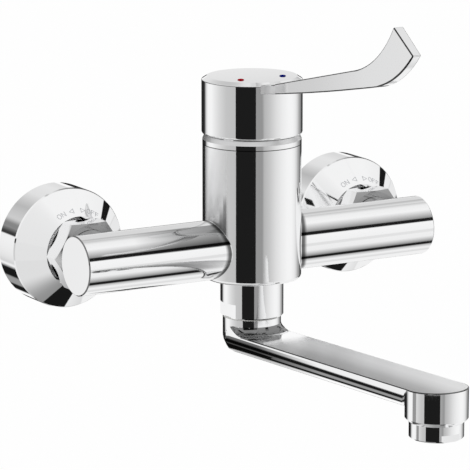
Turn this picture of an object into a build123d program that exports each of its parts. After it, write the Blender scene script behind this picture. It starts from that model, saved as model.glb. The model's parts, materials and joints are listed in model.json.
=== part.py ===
from build123d import *
import os
from math import asin, atan, cos, degrees, hypot, radians, sin, sqrt, tan

# Elbow lever tap: a wall-mounted mixer with an elbow lever and a swivel spout.
# Millimetres. X runs right along the arms, Y into the wall and Z up. The origin is on
# the wall's surface, midway between the two water inlets.
os.makedirs("parts", exist_ok=True)

# Driving sizes of the whole tap
INLET_CENTRES = 150.0
WALL_TO_AXIS = 51.5
COLUMN_DIA = 44.9
COLUMN_TOP = 47.5
COLUMN_BOTTOM = -14.6
ARM_DIA = 27.0
ARM_REACH = 90.5
HANDLE_DIA = 45.7
SKIRT_Z = 51.9
RIM_Z = 76.5
CAP_TOP_Z = 78.0
CAP_TOP_DIA = 41.0
CONNECTOR_DIA = 28.8
CONNECTOR_BOTTOM = -32.1
SPOUT_DIA = 26.6
SPOUT_REACH = 153.2
SPOUT_RISE = 0.046
SPOUT_FLAT_Z = -39.8
HEAD_DIA = 27.0
HEAD_BOTTOM = -47.4
AERATOR_DIA = 23.4
AERATOR_BOTTOM = -54.3
ROSE_DIA = 55.2
ROSE_DEPTH = 15.0
ROSE_FACE_RISE = 10.5
ROSE_HOLE_DIA = 32.6
NUT_ACROSS_FLATS = 30.0
WALL_THREAD_DIA = 20.95
WALL_THREAD_LENGTH = 14.0

# Driving sizes of the inside
ARM_BORE_DIA = 16.0
CARTRIDGE_DIA = 35.2
CARTRIDGE_FLOOR = 13.0
PIVOT_Z = 41.0
STEM_SQUARE = 7.9
RUNNING = 0.08
TOUCHING = 0.02
OVERCUT = 1.0
GRID_ACROSS = 7

# Places that follow from them
AXIS_Y = -WALL_TO_AXIS
COLUMN_R = COLUMN_DIA / 2
ARM_R = ARM_DIA / 2
INLET_X = INLET_CENTRES / 2
SIDES = {"left": -1, "right": 1}
COLUMN = Plane((0, AXIS_Y, 0))
COLUMN_SECTION = Plane((0, AXIS_Y, 0), x_dir=(1, 0, 0), z_dir=(0, -1, 0))
COLUMN_AXIS = Axis((0, AXIS_Y, 0), (0, 0, 1))
ARM_SECTION = Plane((0, AXIS_Y, 0), x_dir=(0, 1, 0), z_dir=(1, 0, 0))


def inlet_axis(side):
    return Axis((side * INLET_X, AXIS_Y, 0), (0, 1, 0))


def inlet_section(side, from_top=90.0):
    """Half section of what turns about an inlet: local x is the radius, local y the
    distance from the arms' axis towards the wall. The half section stands at an angle
    from the top, clockwise as seen from the room."""
    turn = radians(from_top)
    outwards = (sin(turn), 0, cos(turn))
    return Plane((side * INLET_X, AXIS_Y, 0), x_dir=outwards, z_dir=(-cos(turn), 0, sin(turn)))


def across_inlet(side, distance):
    """Plane square to an inlet, at a distance from the arms' axis, facing the wall."""
    return Plane((side * INLET_X, AXIS_Y + distance, 0), x_dir=(-1, 0, 0), z_dir=(0, 1, 0))


def section(plane, *points):
    """Closed outline of straight lines, in the plane's own x and y."""
    with BuildSketch(plane) as outline:
        with BuildLine():
            Polyline(*points, close=True)
        make_face()
    return outline.sketch


def pipe_section(plane, inner, outer, low, high):
    """Rectangular half section of a plain ring."""
    return section(plane, (inner, low), (outer, low), (outer, high), (inner, high))


def save(piece, name):
    piece.part.label = name
    export_step(piece.part, f"parts/{name}.step")


# Body: the upright column and the two level arms, cast in one and bored out
ARM_PLUG_FLANGE = 2.0
ARM_PLUG_SPIGOT_DIA = 19.0
ARM_PLUG_SPIGOT = 4.0
ARM_BORE_START = 10.0
INLET_BOSS_DIA = 24.4
INLET_BOSS = 14.2
TAIL_DIA = 18.8
NUT_SEAT_DIA = 40.0
NUT_SEAT_Z = 40.0
INLET_PORT = (9.5, 3.0)
INLET_PORT_DIA = 6.0
OUTLET_PORT = (0.0, -7.0)
OUTLET_PORT_DIA = 6.8
OUTLET_ROOF = 5.0
OUTLET_BORE_DIA = 11.0
CONNECTOR_THREAD_DIA = 16.0
CONNECTOR_THREAD_TOP = -4.0
COLUMN_FOOT_RADIUS = 1.8
arm_length = ARM_REACH - ARM_PLUG_FLANGE

with BuildPart() as body:
    with BuildSketch(COLUMN.offset(COLUMN_BOTTOM)):
        Circle(COLUMN_R)
    extrude(amount=COLUMN_TOP - COLUMN_BOTTOM)
    fillet(body.edges().sort_by(Axis.Z)[0], COLUMN_FOOT_RADIUS)
    with BuildSketch(ARM_SECTION):
        Circle(ARM_R)
    extrude(amount=arm_length, both=True)
    for side in SIDES.values():
        revolve(pipe_section(inlet_section(side), 0, INLET_BOSS_DIA / 2, 0, INLET_BOSS), inlet_axis(side))
    # Cartridge well, with the wider thread of its clamping nut above
    with BuildSketch(COLUMN.offset(CARTRIDGE_FLOOR)):
        Circle(CARTRIDGE_DIA / 2)
    extrude(amount=COLUMN_TOP, mode=Mode.SUBTRACT)
    with BuildSketch(COLUMN.offset(NUT_SEAT_Z)):
        Circle(NUT_SEAT_DIA / 2)
    extrude(amount=COLUMN_TOP, mode=Mode.SUBTRACT)
    # Hot and cold ways, from each inlet through the arm to a port in the well's floor
    for side in SIDES.values():
        with BuildSketch(ARM_SECTION.offset(side * ARM_BORE_START)):
            Circle(ARM_BORE_DIA / 2)
        extrude(amount=side * ARM_REACH, mode=Mode.SUBTRACT)
        with BuildSketch(ARM_SECTION.offset(side * (arm_length - ARM_PLUG_SPIGOT))):
            Circle(ARM_PLUG_SPIGOT_DIA / 2)
        extrude(amount=side * ARM_REACH, mode=Mode.SUBTRACT)
        with BuildSketch(across_inlet(side, 0)):
            Circle(TAIL_DIA / 2)
        extrude(amount=INLET_BOSS, mode=Mode.SUBTRACT)
        with BuildSketch(COLUMN):
            with Locations((side * INLET_PORT[0], INLET_PORT[1])):
                Circle(INLET_PORT_DIA / 2)
        extrude(amount=CARTRIDGE_FLOOR, mode=Mode.SUBTRACT)
    # Mixed way, from the third port down to the spout connector's thread
    with BuildSketch(COLUMN):
        with Locations(OUTLET_PORT):
            Circle(OUTLET_PORT_DIA / 2)
    extrude(amount=CARTRIDGE_FLOOR, mode=Mode.SUBTRACT)
    with BuildSketch(COLUMN.offset(CONNECTOR_THREAD_TOP)):
        Circle(OUTLET_BORE_DIA / 2)
    extrude(amount=CARTRIDGE_FLOOR - CONNECTOR_THREAD_TOP - OUTLET_ROOF, mode=Mode.SUBTRACT)
    with BuildSketch(COLUMN.offset(COLUMN_BOTTOM)):
        Circle(CONNECTOR_THREAD_DIA / 2)
    extrude(amount=CONNECTOR_THREAD_TOP - COLUMN_BOTTOM, mode=Mode.SUBTRACT)
save(body, "body")

# Flush plugs in the arms' open ends
ARM_END_CHAMFER = 0.5
for name, side in SIDES.items():
    with BuildPart() as arm_plug:
        with BuildSketch(ARM_SECTION.offset(side * arm_length)):
            Circle(ARM_R)
        extrude(amount=side * ARM_PLUG_FLANGE)
        chamfer(arm_plug.edges().sort_by(Axis.X)[-1 if side > 0 else 0], ARM_END_CHAMFER)
        with BuildSketch(ARM_SECTION.offset(side * arm_length)):
            Circle(ARM_PLUG_SPIGOT_DIA / 2)
        extrude(amount=-side * ARM_PLUG_SPIGOT)
    save(arm_plug, f"arm_plug_{name}")

# Inlets: tail screwed into the arm, captive union nut, and washer with a strainer
TAIL_BORE_DIA = 14.0
TAIL_START = 7.0
TAIL_END = 21.0
TAIL_FLANGE_DIA = 24.8
TAIL_FLANGE = 2.2
NUT_START = 14.6
NUT_END = 25.8
NUT_LIP = 3.9
NUT_LIP_DIA = 19.6
UNION_THREAD_DIA = 26.2
NUT_THREAD_DIA = 26.4
NUT_FACE_DIA = 29.0
NUT_CHAMFER_SLOPE = tan(radians(30))
WASHER_DIA = 25.2
WASHER = 2.0
STRAINER = 0.6
STRAINER_HOLE_DIA = 1.5
STRAINER_PITCH = 2.4
nut_corner_r = NUT_ACROSS_FLATS / sqrt(3)
nut_face_r = NUT_FACE_DIA / 2
nut_chamfer = (nut_corner_r - nut_face_r) * NUT_CHAMFER_SLOPE
strainer_reach = TAIL_BORE_DIA / 2 - STRAINER_HOLE_DIA
strainer_grid = HexLocations(STRAINER_PITCH / 2, GRID_ACROSS, GRID_ACROSS).locations
strainer_holes = [spot for spot in strainer_grid if spot.position.length < strainer_reach]

for name, side in SIDES.items():
    half = inlet_section(side)
    with BuildPart() as inlet_tail:
        revolve(pipe_section(half, TAIL_BORE_DIA / 2, TAIL_DIA / 2, TAIL_START, TAIL_END), inlet_axis(side))
        flange_start = TAIL_END - TAIL_FLANGE
        flange = pipe_section(half, TAIL_BORE_DIA / 2, TAIL_FLANGE_DIA / 2, flange_start, TAIL_END)
        revolve(flange, inlet_axis(side))
    save(inlet_tail, f"inlet_tail_{name}")

    with BuildPart() as inlet_nut:
        with BuildSketch(across_inlet(side, NUT_START)):
            RegularPolygon(nut_corner_r, 6)
        extrude(amount=NUT_END - NUT_START)
        envelope = section(
            half,
            (0, NUT_START),
            (nut_face_r, NUT_START),
            (nut_corner_r, NUT_START + nut_chamfer),
            (nut_corner_r, NUT_END - nut_chamfer),
            (nut_face_r, NUT_END),
            (0, NUT_END),
        )
        revolve(envelope, inlet_axis(side), mode=Mode.INTERSECT)
        with BuildSketch(across_inlet(side, NUT_START)):
            Circle(NUT_LIP_DIA / 2)
        extrude(amount=NUT_END, mode=Mode.SUBTRACT)
        with BuildSketch(across_inlet(side, NUT_START + NUT_LIP)):
            Circle(NUT_THREAD_DIA / 2)
        extrude(amount=NUT_END, mode=Mode.SUBTRACT)
    save(inlet_nut, f"inlet_nut_{name}")

    with BuildPart() as inlet_filter:
        washer = pipe_section(half, TAIL_BORE_DIA / 2, WASHER_DIA / 2, TAIL_END, TAIL_END + WASHER)
        revolve(washer, inlet_axis(side))
        with BuildSketch(across_inlet(side, TAIL_END + (WASHER - STRAINER) / 2)):
            Circle(TAIL_BORE_DIA / 2)
            with Locations(*strainer_holes):
                Circle(STRAINER_HOLE_DIA / 2, mode=Mode.SUBTRACT)
        extrude(amount=STRAINER)
    save(inlet_filter, f"inlet_filter_{name}")

# Wall unions: threaded into the wall, with a shut-off shutter and a non-return valve
UNION_START = TAIL_END + WASHER
UNION_THREAD_END = 29.5
UNION_COLLAR_DIA = 29.2
UNION_COLLAR_END = 47.0
UNION_BORE_DIA = 19.0
WALL_BORE_DIA = 15.2
SHUTTER_START = 34.0
SHUTTER_END = 42.0
SEAT_WEB = 2.5
PORT_ANGLE = 78.0
PORT_INNER_R = 2.0
PORT_OUTER_R = 7.4
PIN_DIA = 3.0
PIN_PLACE = 38.0
PIN_INNER_R = 4.0
PIN_OUTER_R = 18.0
PIN_SLOT_WIDTH = 3.2
PIN_PLAY_ANGLE = 1.0
ROSE_TURN = 90.0
ROSE_RING_PLACE = 44.0
ROSE_RING_WIDTH = 2.0
ROSE_RING_GROOVE_DIA = 26.8
pin_half_angle = degrees(asin(PIN_DIA / UNION_BORE_DIA)) + PIN_PLAY_ANGLE


def port_sectors(plane):
    """Two sector-shaped water ports, opposite each other, on a plane square to an inlet."""
    with BuildSketch(plane) as ports:
        for start in (-PORT_ANGLE / 2, 180 - PORT_ANGLE / 2):
            with BuildLine():
                outer = CenterArc((0, 0), PORT_OUTER_R, start, PORT_ANGLE)
                inner = CenterArc((0, 0), PORT_INNER_R, start, PORT_ANGLE)
                Line(outer @ 0, inner @ 0)
                Line(outer @ 1, inner @ 1)
            make_face()
    return ports.sketch


for name, side in SIDES.items():
    half = inlet_section(side)
    centre = inlet_axis(side)
    wall_end = WALL_TO_AXIS + WALL_THREAD_LENGTH
    with BuildPart() as wall_union:
        revolve(
            section(
                half,
                (0, UNION_START),
                (UNION_THREAD_DIA / 2, UNION_START),
                (UNION_THREAD_DIA / 2, UNION_THREAD_END),
                (UNION_COLLAR_DIA / 2, UNION_THREAD_END),
                (UNION_COLLAR_DIA / 2, UNION_COLLAR_END),
                (WALL_THREAD_DIA / 2, UNION_COLLAR_END),
                (WALL_THREAD_DIA / 2, wall_end),
                (0, wall_end),
            ),
            centre,
        )
        union_bore = pipe_section(half, 0, UNION_BORE_DIA / 2, UNION_START, SHUTTER_END)
        revolve(union_bore, centre, mode=Mode.SUBTRACT)
        seat_end = SHUTTER_END + SEAT_WEB
        revolve(pipe_section(half, 0, WALL_BORE_DIA / 2, seat_end, wall_end), centre, mode=Mode.SUBTRACT)
        extrude(port_sectors(across_inlet(side, SHUTTER_END)), amount=SEAT_WEB, mode=Mode.SUBTRACT)
        groove_r = ROSE_RING_GROOVE_DIA / 2
        groove_end = ROSE_RING_PLACE + ROSE_RING_WIDTH
        revolve(
            pipe_section(half, groove_r, COLUMN_R, ROSE_RING_PLACE, groove_end),
            centre,
            mode=Mode.SUBTRACT,
        )
        # Slot for the pin, a quarter turn clockwise from the top as seen from the room
        revolve(
            pipe_section(
                inlet_section(side, -pin_half_angle),
                UNION_BORE_DIA / 2 - OVERCUT,
                UNION_COLLAR_DIA / 2 + OVERCUT,
                PIN_PLACE - PIN_SLOT_WIDTH / 2,
                PIN_PLACE + PIN_SLOT_WIDTH / 2,
            ),
            centre,
            revolution_arc=ROSE_TURN + 2 * pin_half_angle,
            mode=Mode.SUBTRACT,
        )
    save(wall_union, f"wall_union_{name}")

    # Shutter, turned a quarter by the wall plate through a pin in the slot
    with BuildPart() as stop_rotor:
        shutter_r = UNION_BORE_DIA / 2 - RUNNING
        shutter_end = SHUTTER_END - TOUCHING
        revolve(pipe_section(half, 0, shutter_r, SHUTTER_START, shutter_end), centre)
        extrude(port_sectors(across_inlet(side, SHUTTER_START)), amount=SHUTTER_END, mode=Mode.SUBTRACT)
        with BuildSketch(Plane.XY.offset(PIN_INNER_R)):
            with Locations((side * INLET_X, AXIS_Y + PIN_PLACE)):
                Circle(PIN_DIA / 2)
        extrude(amount=UNION_BORE_DIA, mode=Mode.SUBTRACT)
    save(stop_rotor, f"stop_rotor_{name}")

    with BuildPart() as stop_pin:
        with BuildSketch(Plane.XY.offset(PIN_INNER_R)):
            with Locations((side * INLET_X, AXIS_Y + PIN_PLACE)):
                Circle(PIN_DIA / 2)
        extrude(amount=PIN_OUTER_R - PIN_INNER_R)
    save(stop_pin, f"stop_pin_{name}")

    with BuildPart() as rose_ring:
        ring_r = UNION_COLLAR_DIA / 2
        revolve(pipe_section(half, groove_r, ring_r, ROSE_RING_PLACE, groove_end), centre)
    save(rose_ring, f"rose_ring_{name}")

# Wall plates: a conical front on a straight rim, and a hub that turns on the union
ROSE_WALL_GAP = 0.3
ROSE_WALL = 1.7
ROSE_RIM_CHAMFER = 0.4
HUB_RECESS = 4.0
HUB_WALL = 1.9
HUB_END = 46.0
rose_r = ROSE_DIA / 2
rose_hole_r = ROSE_HOLE_DIA / 2
rose_edge = WALL_TO_AXIS - ROSE_DEPTH
rose_front = rose_edge - ROSE_FACE_RISE
face_slope = ROSE_FACE_RISE / (rose_r - rose_hole_r)
face_thickness = ROSE_WALL * hypot(1, face_slope)
hub_outer_r = rose_hole_r + HUB_WALL
hub_bore_r = UNION_COLLAR_DIA / 2 + RUNNING
rim_inner_r = rose_r - ROSE_WALL


def face_place(radius):
    """Distance of the conical front from the arms' axis at a radius."""
    return rose_front + (radius - rose_hole_r) * face_slope


for name, side in SIDES.items():
    centre = inlet_axis(side)
    with BuildPart() as rose:
        revolve(
            section(
                inlet_section(side),
                (rose_r, WALL_TO_AXIS - ROSE_WALL_GAP),
                (rose_r, rose_edge + ROSE_RIM_CHAMFER),
                (rose_r - ROSE_RIM_CHAMFER, face_place(rose_r - ROSE_RIM_CHAMFER)),
                (rose_hole_r, rose_front),
                (rose_hole_r, rose_front + HUB_RECESS),
                (hub_bore_r, rose_front + HUB_RECESS),
                (hub_bore_r, HUB_END),
                (hub_outer_r, HUB_END),
                (hub_outer_r, face_place(hub_outer_r) + face_thickness),
                (rim_inner_r, face_place(rim_inner_r) + face_thickness),
                (rim_inner_r, WALL_TO_AXIS - ROSE_WALL_GAP),
            ),
            centre,
        )
        with BuildSketch(Plane.XY):
            with Locations((side * INLET_X, AXIS_Y + PIN_PLACE)):
                Circle(PIN_DIA / 2)
        extrude(amount=hub_outer_r + OVERCUT, mode=Mode.SUBTRACT)
    save(rose, f"rose_{name}")

# Non-return valves, pressed into the unions' open ends
VALVE_START = 24.0
VALVE_END = 33.6
VALVE_BORE_DIA = 15.6
VALVE_SEAT = 1.8
VALVE_SEAT_DIA = 10.0
SPIDER = 1.5
SPIDER_HUB_DIA = 5.6
SPIDER_HOLE_DIA = 3.1
SPIDER_RIB = 1.6
POPPET_DIA = 12.4
POPPET_DISC = 1.5
POPPET_STEM_DIA = 3.0
POPPET_STEM_START = 25.1
SPRING_DIA = 4.8
SPRING_WIRE_DIA = 0.5
SPRING_TURNS = 4
SPIDER_LAP = 0.4
seat_place = VALVE_END - VALVE_SEAT
poppet_start = seat_place - POPPET_DISC

for name, side in SIDES.items():
    half = inlet_section(side)
    centre = inlet_axis(side)
    with BuildPart() as check_valve:
        revolve(pipe_section(half, VALVE_BORE_DIA / 2, UNION_BORE_DIA / 2, VALVE_START, VALVE_END), centre)
        revolve(pipe_section(half, VALVE_SEAT_DIA / 2, UNION_BORE_DIA / 2, seat_place, VALVE_END), centre)
        with BuildSketch(across_inlet(side, VALVE_START)):
            Circle(SPIDER_HUB_DIA / 2)
            for turn in (0, 60, 120):
                Rectangle(VALVE_BORE_DIA + SPIDER_LAP, SPIDER_RIB, rotation=turn)
            Circle(SPIDER_HOLE_DIA / 2, mode=Mode.SUBTRACT)
        extrude(amount=SPIDER)
    save(check_valve, f"check_valve_{name}")

    with BuildPart() as check_poppet:
        revolve(pipe_section(half, 0, POPPET_DIA / 2, poppet_start, seat_place - TOUCHING), centre)
        revolve(pipe_section(half, 0, POPPET_STEM_DIA / 2, POPPET_STEM_START, poppet_start), centre)
    save(check_poppet, f"check_poppet_{name}")

    spring_low = VALVE_START + SPIDER + SPRING_WIRE_DIA / 2
    spring_rise = poppet_start - SPRING_WIRE_DIA / 2 - spring_low
    with BuildPart() as check_spring:
        with BuildLine(across_inlet(side, spring_low)) as coil:
            Helix(spring_rise / SPRING_TURNS, spring_rise, SPRING_DIA / 2, direction=(0, 1, 0))
        with BuildSketch(Plane(coil.line @ 0, z_dir=coil.line % 0)):
            Circle(SPRING_WIRE_DIA / 2)
        sweep(path=coil.line)
    save(check_spring, f"check_spring_{name}")

# Ceramic mixing cartridge, from its seals on the well's floor up to the stem
SEAL_WIDTH = 1.4
SEAL_HEIGHT = 1.2
BASE_TOP = 18.0
FIXED_DISC_DIA = 29.0
FIXED_DISC_TOP = 21.5
MOVING_DISC_DIA = 23.6
MOVING_DISC_TOP = 25.0
MOVING_DISC_START = 2.4
MIXING_POCKET = (15.0, 12.0, 2.0)
CARRIER_TOP = 29.5
SOCKET_DIA = 6.1
BALL_DIA = 5.86
BALL_Z = 28.2
STEM_NECK_DIA = 4.0
STEM_BLOCK_BOTTOM = 35.0
STEM_TOP = 64.0
ROTOR_DIA = 26.0 - 2 * RUNNING
ROTOR_FLANGE_DIA = 29.4
ROTOR_BOTTOM = 30.0
ROTOR_SHOULDER = 33.0
ROTOR_TOP = 46.0
ROTOR_SLOT = (8.2, -8.0, 6.6)
PIVOT_PIN_DIA = 3.0
HOUSING_BORE_DIA = 30.0
HOUSING_SHOULDER = 33.2
HOUSING_STEP = 40.0
HOUSING_NECK_DIA = 30.0
HOUSING_TOP = 46.5
ports = [
    (INLET_PORT[0], INLET_PORT[1]),
    (-INLET_PORT[0], INLET_PORT[1]),
    OUTLET_PORT,
]
seal_inner_r = OUTLET_PORT_DIA / 2
seal_outer_r = seal_inner_r + SEAL_WIDTH

with BuildPart() as cartridge_seals:
    with BuildSketch(COLUMN.offset(CARTRIDGE_FLOOR)):
        with Locations(*ports):
            Circle(seal_outer_r)
            Circle(seal_inner_r, mode=Mode.SUBTRACT)
    extrude(amount=SEAL_HEIGHT)
save(cartridge_seals, "cartridge_seals")

with BuildPart() as cartridge_base:
    with BuildSketch(COLUMN.offset(CARTRIDGE_FLOOR)):
        Circle(CARTRIDGE_DIA / 2)
        with Locations(*ports):
            Circle(INLET_PORT_DIA / 2, mode=Mode.SUBTRACT)
    extrude(amount=BASE_TOP - CARTRIDGE_FLOOR)
    with BuildSketch(COLUMN.offset(CARTRIDGE_FLOOR)):
        with Locations(*ports):
            Circle(seal_outer_r)
    extrude(amount=SEAL_HEIGHT, mode=Mode.SUBTRACT)
save(cartridge_base, "cartridge_base")

with BuildPart() as fixed_disc:
    with BuildSketch(COLUMN.offset(BASE_TOP)):
        Circle(FIXED_DISC_DIA / 2)
        with Locations(*ports):
            Circle(INLET_PORT_DIA / 2, mode=Mode.SUBTRACT)
    extrude(amount=FIXED_DISC_TOP - BASE_TOP)
save(fixed_disc, "fixed_disc")

disc_centre = (0, MOVING_DISC_START)
with BuildPart() as moving_disc:
    with BuildSketch(COLUMN.offset(FIXED_DISC_TOP + TOUCHING)):
        with Locations(disc_centre):
            Circle(MOVING_DISC_DIA / 2)
    extrude(amount=MOVING_DISC_TOP - FIXED_DISC_TOP - TOUCHING)
    with BuildSketch(COLUMN.offset(FIXED_DISC_TOP + TOUCHING)):
        with Locations(disc_centre):
            Ellipse(MIXING_POCKET[0] / 2, MIXING_POCKET[1] / 2)
    extrude(amount=MIXING_POCKET[2], mode=Mode.SUBTRACT)
save(moving_disc, "moving_disc")

with BuildPart() as disc_carrier:
    with BuildSketch(COLUMN.offset(MOVING_DISC_TOP)):
        with Locations(disc_centre):
            Circle(MOVING_DISC_DIA / 2)
        Circle(SOCKET_DIA / 2, mode=Mode.SUBTRACT)
    extrude(amount=CARRIER_TOP - MOVING_DISC_TOP)
save(disc_carrier, "disc_carrier")

with BuildPart() as cartridge_housing:
    revolve(
        section(
            COLUMN_SECTION,
            (HOUSING_BORE_DIA / 2, BASE_TOP),
            (CARTRIDGE_DIA / 2, BASE_TOP),
            (CARTRIDGE_DIA / 2, HOUSING_STEP),
            (HOUSING_NECK_DIA / 2, HOUSING_STEP),
            (HOUSING_NECK_DIA / 2, HOUSING_TOP),
            (ROTOR_DIA / 2 + RUNNING, HOUSING_TOP),
            (ROTOR_DIA / 2 + RUNNING, HOUSING_SHOULDER),
            (HOUSING_BORE_DIA / 2, HOUSING_SHOULDER),
        ),
        COLUMN_AXIS,
    )
save(cartridge_housing, "cartridge_housing")

with BuildPart() as cartridge_rotor:
    revolve(pipe_section(COLUMN_SECTION, 0, ROTOR_FLANGE_DIA / 2, ROTOR_BOTTOM, ROTOR_SHOULDER), COLUMN_AXIS)
    revolve(pipe_section(COLUMN_SECTION, 0, ROTOR_DIA / 2, ROTOR_SHOULDER, ROTOR_TOP), COLUMN_AXIS)
    slot_width, slot_front, slot_back = ROTOR_SLOT
    with BuildSketch(COLUMN.offset(ROTOR_BOTTOM)):
        with Locations((0, (slot_front + slot_back) / 2)):
            Rectangle(slot_width, slot_back - slot_front)
    extrude(amount=ROTOR_TOP, mode=Mode.SUBTRACT)
    with BuildSketch(ARM_SECTION):
        with Locations((0, PIVOT_Z)):
            Circle(PIVOT_PIN_DIA / 2)
    extrude(amount=HANDLE_DIA, both=True, mode=Mode.SUBTRACT)
save(cartridge_rotor, "cartridge_rotor")

with BuildPart() as pivot_pin:
    with BuildSketch(ARM_SECTION):
        with Locations((0, PIVOT_Z)):
            Circle(PIVOT_PIN_DIA / 2)
    extrude(amount=ROTOR_DIA / 2 - 0.4, both=True)
save(pivot_pin, "pivot_pin")

with BuildPart() as cartridge_stem:
    with BuildSketch(COLUMN.offset(STEM_BLOCK_BOTTOM)):
        Rectangle(STEM_SQUARE, STEM_SQUARE)
    extrude(amount=STEM_TOP - STEM_BLOCK_BOTTOM)
    with BuildSketch(COLUMN.offset(BALL_Z)):
        Circle(STEM_NECK_DIA / 2)
    extrude(amount=STEM_BLOCK_BOTTOM - BALL_Z)
    with Locations((0, AXIS_Y, BALL_Z)):
        Sphere(BALL_DIA / 2)
    with BuildSketch(ARM_SECTION):
        with Locations((0, PIVOT_Z)):
            Circle(PIVOT_PIN_DIA / 2 + RUNNING)
    extrude(amount=STEM_SQUARE, both=True, mode=Mode.SUBTRACT)
save(cartridge_stem, "cartridge_stem")

# Threaded ring that clamps the cartridge, and the tapered ring that hides it
CLAMP_TOP = 48.8
CLAMP_BORE_DIA = 30.4
CLAMP_HEAD_DIA = 40.4
SPANNER_SLOT = 4.0
SHROUD_TOP = 51.6
SHROUD_STRAIGHT = 2.0
SHROUD_TOP_DIA = 43.0
SHROUD_ROOF = 2.4
SHROUD_HOLE_DIA = 31.2
SHROUD_BORE_DIA = 40.8

with BuildPart() as cartridge_nut:
    clamp_bore_r = CLAMP_BORE_DIA / 2
    revolve(pipe_section(COLUMN_SECTION, clamp_bore_r, NUT_SEAT_DIA / 2, HOUSING_STEP, COLUMN_TOP), COLUMN_AXIS)
    revolve(pipe_section(COLUMN_SECTION, clamp_bore_r, CLAMP_HEAD_DIA / 2, COLUMN_TOP, CLAMP_TOP), COLUMN_AXIS)
    with BuildSketch(COLUMN.offset(COLUMN_TOP)):
        with PolarLocations((CLAMP_BORE_DIA + CLAMP_HEAD_DIA) / 4, 6):
            Rectangle(SPANNER_SLOT, SPANNER_SLOT / 2)
    extrude(amount=CLAMP_TOP - COLUMN_TOP, mode=Mode.SUBTRACT)
save(cartridge_nut, "cartridge_nut")

with BuildPart() as shroud_ring:
    revolve(
        section(
            COLUMN_SECTION,
            (COLUMN_R, COLUMN_TOP),
            (COLUMN_R, COLUMN_TOP + SHROUD_STRAIGHT),
            (SHROUD_TOP_DIA / 2, SHROUD_TOP),
            (SHROUD_HOLE_DIA / 2, SHROUD_TOP),
            (SHROUD_HOLE_DIA / 2, SHROUD_TOP - SHROUD_ROOF),
            (SHROUD_BORE_DIA / 2, SHROUD_TOP - SHROUD_ROOF),
            (SHROUD_BORE_DIA / 2, COLUMN_TOP),
        ),
        COLUMN_AXIS,
    )
save(shroud_ring, "shroud_ring")

# Handle: hollow cap on the stem, with the elbow lever cast to its front. The lever is a
# blade on edge that flares and curves up to a broad, square-cut tip.
CAP_LIP_DIA = 43.2
CAP_BORE_DIA = 41.2
CAP_LIP_HEIGHT = 4.0
CAP_ROOF_Z = 73.0
CAP_FOOT_RADIUS = 1.15
RIM_ROUND = 0.4
BOSS_DIA = 17.0
BOSS_BOTTOM = 51.5
SCREW_Z = 58.0
SCREW_DIA = 5.0
SCREW_ACCESS_DIA = 6.0
SCREW_SUNK = 0.3
SCREW_SOCKET = 2.0
LEVER_ROOT = 20.8
LEVER_TOP_START = (22.5, 77.2)
LEVER_TOP_BEND = (90.5, 93.2)
LEVER_TIP_TOP = (120.6, 115.8)
LEVER_TIP_LOW = (135.4, 105.4)
LEVER_UNDER_BEND = (108.0, 88.4)
LEVER_UNDER_MIDDLE = (71.8, 81.2)
LEVER_UNDER_START = (24.3, 73.2)
LEVER_UNDER_ANGLE = 14.0
LEVER_ROOT_WIDTH = 8.2
LEVER_TIP_WIDTH = 4.3
LEVER_EDGE = 0.6
LEVER_ROOT_BLEND = 6.0
LEVER_PLAN_BELOW = 5.0
MARKER_DIA = 3.0
MARKER_DEPTH = 1.1
MARKER_PROUD = 0.05
MARKERS = {"hot_marker": (-10.8, -8.4), "cold_marker": (11.0, -8.4)}


def ahead(place):
    """Point of the lever's side view, given as reach from the column's axis and height."""
    reach, height = place
    return (-reach, height)


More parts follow.
